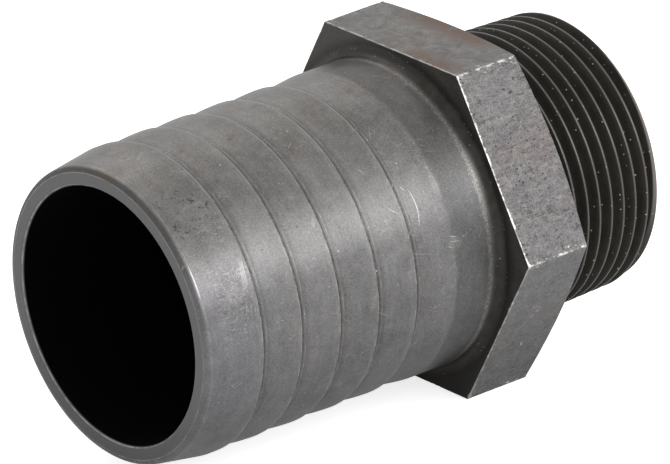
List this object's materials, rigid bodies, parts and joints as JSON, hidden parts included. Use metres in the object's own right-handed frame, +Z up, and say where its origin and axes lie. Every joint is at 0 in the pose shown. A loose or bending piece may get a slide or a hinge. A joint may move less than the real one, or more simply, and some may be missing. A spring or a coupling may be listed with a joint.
{
  "type": "hose barb tail",
  "caption": "Turned steel hose tail: a barbed spigot for a large hose, a hexagon for a spanner and a male taper pipe thread, with a bore right through.",
  "frame": {"origin": "middle of the part's length, straight below the axis, on the plane of the hexagon's lower flat", "axes": "+X along the axis towards the threaded end, so the barbed tail points to -X; +Z up, square to the hexagon's upper flat; the axis is 25 mm above the origin"},
  "size_m": [0.085, 0.0578, 0.05],
  "materials": {
    "phosphated_steel": "dark grey phosphated steel, satin, with bare bright metal worn through on the edges"
  },
  "bodies": {
    "root": {"hose_tail": "phosphated_steel"}
  },
  "joints": []
}
